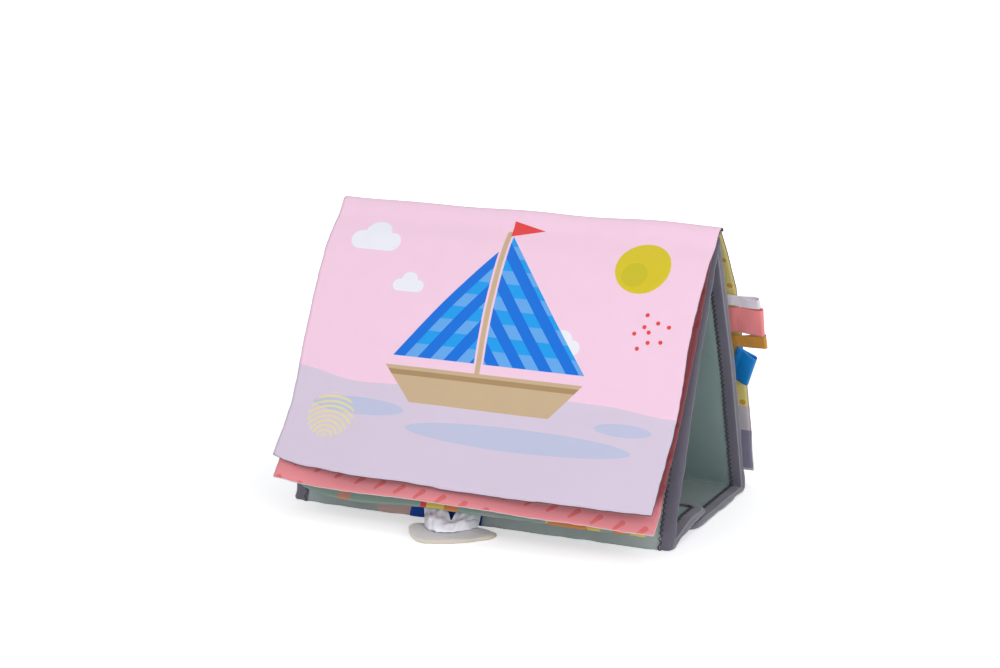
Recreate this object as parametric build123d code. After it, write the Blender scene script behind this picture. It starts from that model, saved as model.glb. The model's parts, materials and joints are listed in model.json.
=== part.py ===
"""Cloth easel book that stands as a tent, with its leaves hanging over the ridge.

Two stiffened covers meet at a rolled seam along the ridge. Each cover goes on below as a base flap, and the
front flap lies on the rear one, held by a hook strip and a loop strip. Every panel is a sandwich of face
cloth, board and lining, with a binding tape sewn round its edge.

The x axis runs along the ridge, y runs from front to rear and z runs up. The origin is the middle of the
base, on the floor. Everything is in millimetres and degrees. The front half is drawn as it stands, and the
rear half is drawn the same way round and then mirrored.
"""

from build123d import *
import math
import os

# The whole book
book_width = 250.0
cover_length = 190.7
rear_foot = 68.0
front_foot = 72.0
front_foot_drop = 1.5
cover_bow = 4.0
bow_radius = 320.0

# The sandwich of a panel
face_cloth = 0.8
board_thickness = 2.4
lining_cloth = 0.8
board_edge_margin = 11.0
board_ridge_margin = 14.0
board_fold_margin = 7.0

# The binding tape, pressed flush with both faces by its seam
tape_thickness = 0.5
tape_width = 9.0

# Folds
fold_radius = 5.0
fold_gap = 0.3
fold_clearance = 0.4
ridge_gap = 0.3

# The rolled seam along the ridge
spine_radius = 2.0
spine_clearance = 0.3

# The base flaps and what holds them together
front_flap_reach = 69.0
flap_level_length = 30.0
flap_bend_radius = 30.0
flap_corner_radius = 12.0
strip_width = 10.0
strip_length = 200.0
strip_thickness = 1.0
strip_gap = 0.3
strip_margin = 0.5

# The leaves: how far each one stops short of the cover at its foot and its sides, and how far it stands off,
# at four places, from the straight line that runs from the ridge to the leaves' foot
leaf_foot = 66.0
leaf_length = 190.0
leaf_thickness = 1.2
leaf_root_start = 2.6
leaf_root_length = 8.0
leaf_places = (0.135, 0.36, 0.74, 1.0)
leaf_bend_radii = (24.0, 70.0, 70.0)
front_leaf_side_margins = (2.0, 1.0, 2.5)
front_leaf_shorts = (18.0, 6.0, 4.0)
front_leaf_stand_offs = ((13.2, 23.4, 28.3, 44.0), (8.8, 17.8, 23.8, 40.6), (4.2, 9.4, 13.2, 26.6))
rear_leaf_side_margin = 0.5
rear_leaf_thickness = 2.0
rear_leaf_short = 2.0
rear_leaf_stand_offs = (11.0, 20.0, 21.0, 20.0)

# The ribbon loops at the right edge of the rear leaf: width, reach and droop, from the top one down
ribbon_start = 54.5
ribbon_spacing = 0.8
ribbon_cloth = 0.45
ribbon_loop_height = 4.0
ribbons = {
    "ribbon_white": (8.0, 13.0, 6.0),
    "ribbon_coral": (18.5, 15.5, 4.0),
    "ribbon_mustard": (7.5, 16.0, 3.0),
    "ribbon_blue": (18.0, 8.5, 24.0),
}

# The gathered strap and the felt leaf on its end
strap_width = 36.0
strap_middle = -17.0
strap_height = 15.0
strap_fall = 20.0
strap_gathers = 5
strap_wave = 1.4
strap_cloth = 1.2
felt_length = 55.0
felt_depth = 38.0
felt_thickness = 2.6
felt_taper = 0.17
felt_rim_points = 10
felt_edge = 0.5
felt_turn = 23.5
felt_middle = (-5.0, -95.0)

# Worked out from the sizes above
panel_thickness = face_cloth + board_thickness + lining_cloth
half_width = book_width / 2
base_depth = front_foot + rear_foot
ridge_height = math.sqrt(cover_length**2 - rear_foot**2)
front_leaf_widths = [book_width - 2 * margin for margin in front_leaf_side_margins]
rear_leaf_width = book_width - 2 * rear_leaf_side_margin
flap_overlap = 2 * tape_width + strip_width + 2 * strip_margin
rear_flap_reach = base_depth - front_flap_reach + flap_overlap
front_flap_lift = panel_thickness + 2 * strip_thickness + strip_gap
far = 4 * book_width


def across(point):
    """A point of the upright plane that cuts the book across, given as (y, z)."""
    return Vector(0, point[0], point[1])


ridge = across((0, ridge_height))
front_fold = across((-front_foot, -front_foot_drop))
rear_fold = across((-rear_foot, 0))
leaf_chord = (across((-leaf_foot, 0)) - ridge).normalized()


def left_of(direction):
    """The direction a quarter turn to the left, seen with y to the right and z up."""
    return Vector(0, -direction.Z, direction.Y)


def cover_path(fold):
    """The corners of a cover's outer face: the ridge, the crown of its bow and the fold."""
    chord = fold - ridge
    return [ridge, ridge + chord / 2 - left_of(chord.normalized()) * cover_bow, fold]


def moved_path(points, radii, depth):
    """The path with rounded corners, moved to its left by the depth."""
    moved = []
    corner_radii = []
    headings = [(b - a).normalized() for a, b in zip(points, points[1:])]
    for i, point in enumerate(points):
        before = headings[max(i - 1, 0)]
        after = headings[min(i, len(headings) - 1)]
        middle = (left_of(before) + left_of(after)).normalized()
        moved.append(point + middle * (depth / middle.dot(left_of(after))))
        if 0 < i < len(points) - 1:
            turns_left = left_of(before).dot(after) > 0
            corner_radii.append(radii[i - 1] + (-depth if turns_left else depth))
    if not corner_radii:
        return Line(*moved)
    return FilletPolyline(*moved, radius=corner_radii)


def band(points, radii, near, deep, x_from, x_to):
    """A sheet that follows the path, from one depth to another, between two places along the ridge."""
    outer = moved_path(points, radii, near)
    inner = moved_path(points, radii, deep)
    ends = [Line(outer @ 0, inner @ 0), Line(outer @ 1, inner @ 1)]
    section = make_face(outer.edges() + inner.edges() + ends)
    section = Pos(x_from, 0, 0) * section
    return extrude(section, amount=x_to - x_from, dir=(1, 0, 0))


def prism(corners, x_from=-far, x_to=far):
    """A bar along the ridge with the given corners across."""
    section = Pos(x_from, 0, 0) * make_face(Polyline(*corners, close=True).edges())
    return extrude(section, amount=x_to - x_from, dir=(1, 0, 0))


def side_of(point, heading, gap):
    """All that lies to the left of a line, less half of the gap."""
    start = point + left_of(heading) * (gap / 2)
    corners = [start - heading * far, start + heading * far]
    corners += [corners[1] + left_of(heading) * far, corners[0] + left_of(heading) * far]
    return prism(corners)


def between(start, end):
    """All that lies between two points, measured along the line that joins them."""
    side = left_of((end - start).normalized()) * far
    return prism([start - side, end - side, end + side, start + side])


def ridge_bar(radius):
    """A round bar along the ridge."""
    return Pos(ridge) * Rot(0, 90, 0) * Cylinder(radius, book_width)


def cover_outline(inset):
    """The outline of a cover, which its folds and the ridge cut off above and below."""
    return Box(book_width - 2 * inset, far, far)


def flap_outline(tip, inset):
    """The outline of a base flap seen from above, with two rounded corners at its free end."""
    width = book_width - 2 * inset
    length = tip + base_depth - inset
    plate = Pos(0, tip - inset - length / 2) * Rectangle(width, length)
    corners = plate.vertices().sort_by(Axis.Y)[-2:]
    return extrude(fillet(corners, flap_corner_radius - inset), amount=far / 2, both=True)


def panel(path, radii, outline, zone, board_zone):
    """The four kinds of piece of a panel: face cloth, board, lining and binding tape."""
    def layer(near, deep):
        return band(path, radii, near, deep, -half_width, half_width) & zone

    whole = layer(0, panel_thickness) & outline(0)
    rim = whole - outline(tape_width)
    tape = rim - (layer(tape_thickness, panel_thickness - tape_thickness) & outline(tape_thickness))
    sewn = outline(tape_thickness)
    board_deep = face_cloth + board_thickness
    board = layer(face_cloth, board_deep) & outline(board_edge_margin) & board_zone
    face = (layer(0, face_cloth) & sewn) - tape
    lining = (layer(face_cloth, panel_thickness) & sewn) - tape - board
    return {"cloth": face, "board": board, "lining": lining, "binding": tape}


def fold_line(path, index, depth):
    """The corner of the path at a fold, moved to the left by the depth."""
    before = (path[index] - path[index - 1]).normalized()
    after = (path[index + 1] - path[index]).normalized()
    middle = (left_of(before) + left_of(after)).normalized()
    return path[index] + middle * (depth / middle.dot(left_of(after)))


def half_book(fold, flap_path, flap_radii, flap_tip, ridge_clearance):
    """A cover with its base flap, as one folded strip that is parted at the fold."""
    path = cover_path(fold) + flap_path
    radii = [bow_radius, fold_radius] + flap_radii
    inward = (fold_line(path, 2, panel_thickness) - fold).normalized()
    cover_side = side_of(fold, inward, fold_gap)
    flap_side = side_of(fold, -inward, fold_gap)
    cover_zone = (cover_side & side_of(ridge, Vector(0, 0, 1), ridge_gap)) - ridge_bar(
        spine_radius + ridge_clearance
    )
    chord = (fold - ridge).normalized()
    cover_board = between(ridge + chord * board_ridge_margin, fold - chord * board_fold_margin)
    flap_board = between(fold + Vector(0, board_fold_margin, 0), fold + Vector(0, far, 0))
    cover = panel(path, radii, cover_outline, cover_zone, cover_board)
    flap = panel(path, radii, lambda inset: flap_outline(flap_tip, inset), flap_side, flap_board)
    return cover, flap


def leaf_path(fold, short, stand_offs, root_height):
    """Where the outer face of a leaf runs, from the ridge down."""
    reach = leaf_length - short
    upper_face = (cover_path(fold)[1] - ridge).normalized()
    points = [ridge + upper_face * leaf_root_start - left_of(upper_face) * root_height]
    for place, off in zip(leaf_places, stand_offs):
        points.append(ridge + leaf_chord * (reach * place) - left_of(leaf_chord) * off)
    return points


def leaf(path, thickness, width):
    """One leaf, drawn from its outer face inwards."""
    return band(path, leaf_bend_radii, 0, thickness, -width / 2, width / 2)


def front_leaves():
    """The three leaves that hang at the front, sewn into one root."""
    count = len(front_leaf_widths)
    stack = count * leaf_thickness
    upper_face = (cover_path(front_fold)[1] - ridge).normalized()
    outwards = -left_of(upper_face) * stack
    root_face = ridge + upper_face * leaf_root_start
    below = root_face + upper_face * leaf_root_length
    corners = [root_face, below, below + outwards, root_face + outwards]
    half = min(front_leaf_widths) / 2
    leaves = prism(corners, -half, half)
    for i in range(count):
        root_height = stack - i * leaf_thickness
        path = leaf_path(front_fold, front_leaf_shorts[i], front_leaf_stand_offs[i], root_height)
        leaves += leaf(path, leaf_thickness, front_leaf_widths[i])
    return leaves


def ribbon(width, reach, droop, place, seam_path):
    """A loop of ribbon that comes out of the edge seam of the rear leaf."""
    tip = ribbon_loop_height / 2
    seam = rear_leaf_thickness / 2
    root = Pos(0, 0) * Rectangle(2 * tape_thickness, 2 * seam)
    bulb = Pos(reach - tip, 0) * Circle(tip)
    outside = make_hull(root.edges() + bulb.edges())
    loop = outside - offset(outside, -ribbon_cloth)
    heading = (seam_path[3] - seam_path[2]).normalized()
    middle = seam_path[2] + heading * (place - (seam_path[2] - ridge).dot(heading))
    middle += left_of(heading) * seam + Vector(rear_leaf_width / 2, 0, 0)
    frame = Plane(origin=middle, x_dir=(1, 0, 0), z_dir=heading)
    ready = frame * Pos(0, 0, -width / 2) * extrude(loop, amount=width)
    hinge_axis = Axis(middle, left_of(heading))
    return ready.rotate(hinge_axis, droop)


def ribbon_loops(rear_leaf, seam_path):
    """The four ribbon loops, one below the other, cut back to the edge of the rear leaf."""
    loops = {}
    place = ribbon_start
    for name, (width, reach, droop) in ribbons.items():
        loop = ribbon(width, reach, droop, place + width / 2, seam_path)
        loops[name] = loop - Box(rear_leaf_width, far, far)
        place += width + ribbon_spacing + reach * math.sin(math.radians(droop)) / 4
    return loops


def gathered_strap(cover_wall, felt):
    """A gathered strip of thin cloth that falls from the cover onto the felt leaf."""
    steps = 4 * strap_gathers
    waves = [strap_wave * math.cos(math.pi * i / 2) for i in range(steps + 1)]
    x_places = [strap_middle + strap_width * (i / steps - 0.5) for i in range(steps + 1)]
    start_y = -front_foot + strap_height
    lower = [Vector(x, start_y, strap_height + wave) for x, wave in zip(x_places, waves)]
    upper = [point + Vector(0, 0, strap_cloth) for point in lower]
    sides = [Line(lower[0], upper[0]), Line(lower[-1], upper[-1])]
    section = make_face(Spline(*lower).edges() + Spline(*upper).edges() + sides)
    end = Vector(0, felt_middle[1] + felt_depth / 4, felt_thickness + strap_wave)
    fall = end - Vector(0, start_y, strap_height)
    strip = extrude(section, amount=fall.length, dir=fall.normalized())
    return strip - cover_wall - felt


def felt_leaf():
    """The flat egg-shaped piece of felt that lies on the floor, with its blunt end on the left."""
    rim = []
    for i in range(felt_rim_points):
        turn = 2 * math.pi * i / felt_rim_points
        taper = 1 - felt_taper * math.cos(turn)
        rim.append((felt_length / 2 * math.cos(turn), felt_depth / 2 * math.sin(turn) * taper))
    oval = extrude(make_face(Spline(*rim, periodic=True)), amount=felt_thickness)
    oval = chamfer(oval.edges(), felt_edge)
    return Pos(felt_middle[0], felt_middle[1], 0) * Rot(0, 0, felt_turn) * oval


def strip_on_flap(height):
    """A strip of hook or loop tape in the middle of the overlap of the two flaps."""
    y_middle = front_tip - tape_width - strip_margin - strip_width / 2
    return Pos(0, y_middle, height + strip_thickness / 2) * Box(
        strip_length, strip_width, strip_thickness
    )


def half_of(shape, side):
    """The part of a shape on the right side of the book, or on the left with a side of -1."""
    return shape & (Pos(side * far / 2, 0, 0) * Box(far, far, far))


# The front half: its flap rises from the fold and lies level on the rear flap
front_tip = -front_foot + front_flap_reach
rise_end = across((front_tip - flap_level_length, front_flap_lift))
front_flap_path = [rise_end, across((far / 4, front_flap_lift))]
front_cover, front_flap = half_book(
    front_fold, front_flap_path, [flap_bend_radius], front_tip, spine_clearance
)

# The rear half: its flap lies flat on the floor
rear_tip = -rear_foot + rear_flap_reach
rear_flap_path = [across((far / 4, 0))]
rear_cover, rear_flap = half_book(rear_fold, rear_flap_path, [], rear_tip, 0)

# The rear leaf and its ribbons
rear_path = leaf_path(rear_fold, rear_leaf_short, rear_leaf_stand_offs, rear_leaf_thickness)
rear_leaf = leaf(rear_path, rear_leaf_thickness, rear_leaf_width)
loops = ribbon_loops(rear_leaf, rear_path)

# The felt leaf and its strap
felt = felt_leaf()
front_wall = band(cover_path(front_fold), [bow_radius], 0, far / 4, -half_width, half_width)
strap = gathered_strap(front_wall, felt)

nodes = {}
for kind in ("cloth", "board", "lining"):
    nodes[f"front_cover_{kind}"] = front_cover[kind]
    nodes[f"rear_cover_{kind}"] = mirror(rear_cover[kind], about=Plane.XZ)
for kind in ("cloth", "board", "lining", "binding"):
    nodes[f"front_flap_{kind}"] = front_flap[kind]
    nodes[f"rear_flap_{kind}"] = mirror(rear_flap[kind], about=Plane.XZ)
for side_name, side in (("left", -1), ("right", 1)):
    nodes[f"front_cover_binding_{side_name}"] = half_of(front_cover["binding"], side)
    rear_binding = half_of(rear_cover["binding"], side)
    nodes[f"rear_cover_binding_{side_name}"] = mirror(rear_binding, about=Plane.XZ)
nodes["spine_roll"] = ridge_bar(spine_radius)
nodes["loop_strip"] = strip_on_flap(panel_thickness)
nodes["hook_strip"] = strip_on_flap(panel_thickness + strip_thickness + strip_gap)
nodes["front_leaves"] = front_leaves()
nodes["rear_leaf"] = mirror(rear_leaf, about=Plane.XZ)
for name, loop in loops.items():
    nodes[name] = mirror(loop, about=Plane.XZ)
nodes["felt_leaf"] = felt
nodes["gathered_strap"] = strap

front_axis = fold_line(cover_path(front_fold) + front_flap_path, 2, panel_thickness + fold_clearance)
rear_axis = fold_line(cover_path(rear_fold) + rear_flap_path, 2, -fold_clearance)
print("cover hinge at y 0, z", round(ridge_height, 3))
print("front flap hinge at y, z", round(front_axis.Y, 3), round(front_axis.Z, 3))
print("rear flap hinge at y, z", round(-rear_axis.Y, 3), round(rear_axis.Z, 3))

os.makedirs("parts", exist_ok=True)
for name, shape in nodes.items():
    export_step(shape, f"parts/{name}.step")
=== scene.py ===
"""Looks of the cloth easel book: its sewn panels, hanging leaves, ribbon loops, gathered strap and felt leaf.

Metres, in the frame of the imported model: x along the ridge, y to the rear, z up, origin in the middle of the base.
"""
from functools import partialmethod
import json
import math

import bpy
import numpy as np
from mathutils import Matrix, Vector


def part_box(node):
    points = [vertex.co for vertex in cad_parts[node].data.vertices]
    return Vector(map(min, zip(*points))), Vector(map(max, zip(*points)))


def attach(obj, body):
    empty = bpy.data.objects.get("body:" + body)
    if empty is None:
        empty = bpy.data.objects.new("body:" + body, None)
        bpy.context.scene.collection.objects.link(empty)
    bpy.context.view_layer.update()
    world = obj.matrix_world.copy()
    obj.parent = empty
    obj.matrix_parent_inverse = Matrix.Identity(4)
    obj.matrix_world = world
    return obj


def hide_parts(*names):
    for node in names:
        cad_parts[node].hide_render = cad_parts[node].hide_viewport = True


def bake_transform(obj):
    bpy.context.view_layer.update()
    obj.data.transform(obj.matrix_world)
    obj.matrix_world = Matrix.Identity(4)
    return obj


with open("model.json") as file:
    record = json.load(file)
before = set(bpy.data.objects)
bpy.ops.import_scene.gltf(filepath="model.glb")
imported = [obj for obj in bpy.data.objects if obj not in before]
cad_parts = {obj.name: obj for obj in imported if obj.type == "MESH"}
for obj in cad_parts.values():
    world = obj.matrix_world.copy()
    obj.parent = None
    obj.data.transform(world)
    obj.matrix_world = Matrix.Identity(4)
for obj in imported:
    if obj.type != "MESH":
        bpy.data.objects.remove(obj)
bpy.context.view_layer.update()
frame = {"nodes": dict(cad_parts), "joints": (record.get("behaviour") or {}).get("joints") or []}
MM = 0.001

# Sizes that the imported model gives
joints = {joint["name"]: joint for joint in frame["joints"]}
RIDGE_Z = joints["cover_hinge"]["pos_m"][2]
HALF_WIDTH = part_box("spine_roll")[1][0]
FRONT_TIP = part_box("front_flap_binding")[1][1]
REAR_TIP = -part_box("rear_flap_binding")[0][1]

# Sizes that are the same as in the model's source
PANEL = 4.0 * MM
FLAP_CORNER = 12.0 * MM
COVER_BOW = 4.0 * MM
BOW_RADIUS = 320 * MM
FRONT_FOLD = np.array([-72.0, -1.5]) * MM
REAR_FOLD = np.array([-68.0, 0.0]) * MM
LEAF_FOOT = np.array([-66.0, 0.0]) * MM
LEAF_LENGTH = 190 * MM
FOLD_RADIUS = 5.0 * MM
FOLD_SHARP = 0.85
FLAP_LIFT = 6.3 * MM
FLAP_LEVEL = 30 * MM
FLAP_BEND = 30 * MM
LEAF_START = 2.6 * MM


def unit(vector):
    return vector / np.linalg.norm(vector)


def units(rows):
    """Each row as a unit vector."""
    return rows / np.linalg.norm(rows, axis=1)[:, None]


def lengths(points):
    """The length of a path up to each of its points."""
    return np.concatenate([[0], np.cumsum(np.linalg.norm(np.diff(points, axis=0), axis=1))])


def mm(points):
    """Points in metres, from points in millimetres."""
    return [np.array(p) * MM for p in points]


RIDGE = np.array([0.0, RIDGE_Z])
CHORD = unit(LEAF_FOOT - RIDGE)
STAND_OFF = np.array([CHORD[1], -CHORD[0]])


def bow_point(fold):
    """The crown of a cover's bow."""
    chord = fold - RIDGE
    return RIDGE + chord / 2 + np.array([chord[1], -chord[0]]) / np.linalg.norm(chord) * COVER_BOW


# Paths across the book

def rounded(points, radii, step=2.0 * MM):
    """Points along a path with rounded corners, in the plane of y and z."""
    points = [np.asarray(p, float) for p in points]
    dense = [points[0]]
    for i, radius in enumerate(radii, 1):
        before, after = unit(points[i] - points[i - 1]), unit(points[i + 1] - points[i])
        turn = math.acos(np.clip(before @ after, -1, 1))
        trim = radius * math.tan(turn / 2)
        side = np.sign(before[0] * after[1] - before[1] * after[0])
        centre = points[i] - before * trim + side * radius * np.array([-before[1], before[0]])
        arm = points[i] - before * trim - centre
        count = max(3, int(turn * radius / step) + 2)
        for angle in np.linspace(0, turn * side, count):
            c, s = math.cos(angle), math.sin(angle)
            dense.append(centre + np.array([c * arm[0] - s * arm[1], s * arm[0] + c * arm[1]]))
    dense.append(points[-1])
    return np.array(dense)


class Path:
    """A path by length, with its left side, which is the inside of the book's front half."""

    def __init__(self, points):
        self.points = points
        self.length = lengths(points)
        heading = units(np.gradient(points, self.length, axis=0))
        self.left = np.column_stack([-heading[:, 1], heading[:, 0]])

    def at(self, s, depth=0.0):
        s = np.asarray(s, float)
        y, z, ny, nz = (np.interp(s, self.length, k) for k in (*self.points.T, *self.left.T))
        norm = np.sqrt(ny**2 + nz**2)
        return y + ny / norm * depth, z + nz / norm * depth


def smooth(edge_0, edge_1, x):
    t = np.clip((x - edge_0) / (edge_1 - edge_0), 0, 1)
    return t * t * (3 - 2 * t)


class Waves:
    """A smooth random surface made of a few seeded waves, which are about so many millimetres long."""

    def __init__(self, seed, size, count=7):
        draw = np.random.default_rng(seed)
        angle = draw.uniform(0, 2 * math.pi, count)
        pitch = 2 * math.pi / (size * MM * draw.uniform(0.6, 1.8, count))
        self.a, self.b = np.cos(angle) * pitch, np.sin(angle) * pitch
        self.phase = draw.uniform(0, 2 * math.pi, count)
        self.weight = draw.uniform(0.5, 1.0, count)
        self.weight /= np.sqrt((self.weight**2).sum() / 2)

    def __call__(self, u, v):
        u, v = np.asarray(u, float)[..., None], np.asarray(v, float)[..., None]
        return (self.weight * np.sin(self.a * u + self.b * v + self.phase)).sum(-1)


# Meshes

def placed(name, data):
    obj = bpy.data.objects.new(name, data)
    bpy.context.scene.collection.objects.link(obj)
    return obj


def make_object(name, verts, faces, uvs=None, marks=None):
    mesh = bpy.data.meshes.new(name)
    mesh.from_pydata([tuple(v) for v in verts], [], [tuple(f) for f in faces])
    if uvs is not None:
        layer = mesh.uv_layers.new(name="Page")
        corner_verts = np.zeros(len(mesh.loops), int)
        mesh.loops.foreach_get("vertex_index", corner_verts)
        layer.data.foreach_set("uv", np.asarray(uvs, float)[corner_verts].ravel())
    if marks is not None:
        mesh.polygons.foreach_set("material_index", np.asarray(marks, int))
    mesh.validate()
    mesh.polygons.foreach_set("use_smooth", [True] * len(mesh.polygons))
    return placed(name, mesh)


def shell(name, outer, inner, u, v, mirrored=False):
    """A closed sheet from two grids of points. Its faces are marked 0 outside, 1 inside and 2 at the rim."""
    rows, cols = outer.shape[:2]
    count = rows * cols
    verts = np.concatenate([outer.reshape(-1, 3), inner.reshape(-1, 3)])
    uvs = np.column_stack([np.tile(u.ravel(), 2), np.tile(v.ravel(), 2)])
    faces, marks = [], []

    def add(a, b, c, d, mark):
        faces.append((d, c, b, a) if mirrored else (a, b, c, d))
        marks.append(mark)

    for i in range(rows - 1):
        for j in range(cols - 1):
            a, b = i * cols + j, i * cols + j + 1
            c, d = b + cols, a + cols
            add(a, d, c, b, 0)
            add(a + count, b + count, c + count, d + count, 1)
    ids = np.arange(count).reshape(rows, cols)
    painted_shade_strip = np.concatenate([ids[0], ids[1:, -1], ids[-1, -2::-1], ids[-2:0:-1, 0]]).tolist()
    for a, b in zip(painted_shade_strip, painted_shade_strip[1:] + painted_shade_strip[:1]):
        add(a, b, b + count, a + count, 2)
    return make_object(name, verts, faces, uvs, marks)


def tube(name, rings, uvs, marks=None, turned=False):
    """A skin over rings of points, with a flat face at each end."""
    count, sides = rings.shape[:2]
    faces = []
    for i in range(count - 1):
        for k in range(sides):
            a, b = i * sides + k, i * sides + (k + 1) % sides
            faces.append((a, a + sides, b + sides, b))
    faces.append(tuple(range(sides)))
    faces.append(tuple((count - 1) * sides + k for k in reversed(range(sides))))
    if turned:
        faces = [face[:1] + face[:0:-1] for face in faces]
    return make_object(name, rings.reshape(-1, 3), faces, uvs, marks)


def flipped(points):
    """The same points on the other side of the ridge."""
    out = np.array(points, float)
    out[..., 1] *= -1
    return out


def materials(obj, *mats):
    for mat in mats:
        obj.data.materials.append(mat)
    return obj


def stand_for(obj, slot, *nodes, body=None):
    """Hides the nodes that a piece replaces and, if it doesn't bend, ties it to the body it rides on. Its slot is
    not used.
    """
    if body:
        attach(obj, body)
    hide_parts(*nodes)


# Shader nodes, written as sums

class Value:
    """A number in a shader's node tree, which can be added, multiplied and compared."""

    def __init__(self, tree, socket):
        self.tree, self.socket = tree, socket

    def math(self, operation, *others, clamp=False):
        node = self.tree.nodes.new("ShaderNodeMath")
        node.operation = operation
        node.use_clamp = clamp
        for i, item in enumerate((self,) + others):
            if isinstance(item, Value):
                self.tree.links.new(item.socket, node.inputs[i])
            else:
                node.inputs[i].default_value = item
        return Value(self.tree, node.outputs[0])

    def __rsub__(self, other):
        return (self * -1) + other

    def __neg__(self):
        return self * -1

    __add__ = __radd__ = partialmethod(math, "ADD")
    __sub__ = partialmethod(math, "SUBTRACT")
    __mul__ = partialmethod(math, "MULTIPLY")
    __truediv__ = partialmethod(math, "DIVIDE")
    least, most = partialmethod(math, "MINIMUM"), partialmethod(math, "MAXIMUM")
    abs, sqrt, sin = partialmethod(math, "ABSOLUTE"), partialmethod(math, "SQRT"), partialmethod(math, "SINE")
    floor, fract = partialmethod(math, "FLOOR"), partialmethod(math, "FRACT")


class Cloth:
    """A cloth material under way: its shader, its colour so far and its place on the flat sheet. All its lengths
    are in millimetres."""

    def __init__(self, name, colour, roughness=0.85, sheen=0.25, specular=0.25):
        mat = bpy.data.materials.new(name)
        mat.use_nodes = True
        self.mat, self.tree, self.link = mat, mat.node_tree, mat.node_tree.links.new
        self.shader = self.tree.nodes["Principled BSDF"]
        for key, value in (("Roughness", roughness), ("Sheen Weight", sheen), ("Sheen Roughness", 0.5),
                           ("Specular IOR Level", specular)):
            self.shader.inputs[key].default_value = value
        self.colour = self.rgb(colour)
        coords, split = self.node("UVMap"), self.node("SeparateXYZ")
        coords.uv_map = "Page"
        self.place = coords.outputs["UV"]
        self.link(self.place, split.inputs[0])
        self.u, self.v = (Value(self.tree, split.outputs[axis]) / MM for axis in "XY")

    def node(self, kind):
        return self.tree.nodes.new("ShaderNode" + kind)

    def rgb(self, colour):
        node = self.node("RGB")
        node.outputs[0].default_value = (*colour, 1)
        return node.outputs[0]

    def noise(self, size, detail=2.0, rough=0.5):
        node = self.node("TexNoise")
        for key, value in (("Scale", 1 / (size * MM)), ("Detail", detail), ("Roughness", rough)):
            node.inputs[key].default_value = value
        self.link(self.place, node.inputs["Vector"])
        return Value(self.tree, node.outputs["Fac"])

    def inside(self, distance, blur):
        """1 where the signed distance is below zero, with a soft edge."""
        return (0.5 - distance / blur).math("ADD", 0.0, clamp=True)

    def fill(self, colour, distance, share=1.0, blur=0.12):
        """Paints the inside of a shape."""
        node = self.node("Mix")
        node.data_type = "RGBA"
        self.link((self.inside(distance, blur) * share).socket, node.inputs["Factor"])
        self.link(self.colour, node.inputs[6])
        self.link(self.rgb(colour), node.inputs[7])
        self.colour = node.outputs[2]

    def shade(self, factor):
        """Multiplies the colour by a number."""
        node = self.node("VectorMath")
        node.operation = "SCALE"
        self.link(self.colour, node.inputs[0])
        self.link(factor.socket, node.inputs["Scale"])
        self.colour = node.outputs[0]

    def woven(self, pitch, depth, mottle=0.04, slub=0.03):
        """The material with threads both ways, as bump and as a faint change of colour."""
        turn = 2 * math.pi / pitch
        wobble = self.noise(3.0) * 0.9
        warp = (self.u * turn + wobble).sin()
        weft = (self.v * turn + wobble).sin()
        threads = warp * weft
        cross = self.noise(0.9, 3.0)
        tone = threads * (mottle * 0.5) + (self.noise(14, 3.0) - 0.5) * (mottle * 2) + 1.0
        return self.done(threads * 0.5 + cross * 1.2, depth, tone + (cross - 0.5) * slub * 2)

    def done(self, height, depth, tone):
        """The material with its bump and its last change of tone."""
        self.shade(tone)
        node = self.node("Bump")
        node.inputs["Strength"].default_value = 1.0
        node.inputs["Distance"].default_value = depth * MM
        self.link(height.socket, node.inputs["Height"])
        self.link(node.outputs[0], self.shader.inputs["Normal"])
        self.link(self.colour, self.shader.inputs["Base Color"])
        return self.mat

    # Signed distances to simple shapes

    def circle(self, x, y, radius):
        du, dv = self.u - x, self.v - y
        return (du * du + dv * dv).sqrt() - radius

    def ellipse(self, x, y, a, b, turn=0.0):
        c, s = math.cos(turn), math.sin(turn)
        du, dv = self.u - x, self.v - y
        p, q = (du * c + dv * s) / a, (dv * c - du * s) / b
        return ((p * p + q * q).sqrt() - 1.0) * min(a, b)

    def half(self, x0, y0, x1, y1):
        """Negative on the left of the line from the first point to the second."""
        length = math.hypot(x1 - x0, y1 - y0)
        nx, ny = (y1 - y0) / length, -(x1 - x0) / length
        return self.u * nx + self.v * ny - (x0 * nx + y0 * ny)

    def polygon(self, *points):
        """A convex outline given anticlockwise with v upwards."""
        out = None
        for (x0, y0), (x1, y1) in zip(points, points[1:] + points[:1]):
            side = self.half(x0, y0, x1, y1)
            out = side if out is None else out.most(side)
        return out

    def bar(self, x0, y0, x1, y1, radius):
        """A stroke with round ends."""
        dx, dy = x1 - x0, y1 - y0
        square = dx * dx + dy * dy
        along = ((self.u - x0) * (dx / square) + (self.v - y0) * (dy / square)).math("ADD", 0.0, clamp=True)
        pu, pv = self.u - x0 - along * dx, self.v - y0 - along * dy
        return (pu * pu + pv * pv).sqrt() - radius


# Colours, as seen in the photograph's light
PINK = (0.93, 0.63, 0.78)
LAVENDER = (0.70, 0.60, 0.73)
PALE_BLUE = (0.50, 0.55, 0.74)
CLOUD = (0.87, 0.87, 0.93)
BLUE_DARK = (0.003, 0.165, 0.72)
BLUE_MID = (0.01, 0.34, 0.85)
BLUE_LIGHT = (0.13, 0.40, 0.84)
FRUIT = (0.70, 0.56, 0.02)
BEIGE = (0.60, 0.44, 0.27)
PALE_YELLOW = (0.80, 0.72, 0.36)
RED = (0.80, 0.06, 0.06)
CORAL = (0.85, 0.28, 0.31)
CORAL_DARK = (0.72, 0.08, 0.07)
MAROON = (0.045, 0.006, 0.012)
SAGE = (0.29, 0.42, 0.36)
SALMON = (0.62, 0.31, 0.22)
YELLOW = (0.76, 0.62, 0.14)
ORANGE = (0.72, 0.27, 0.07)
COVER_GREY = (0.37, 0.42, 0.41)
ROYAL = (0.004, 0.06, 0.36)
NAVY = (0.016, 0.026, 0.07)
BINDING = (0.145, 0.135, 0.178)
THREAD = (0.045, 0.035, 0.055)
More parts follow.
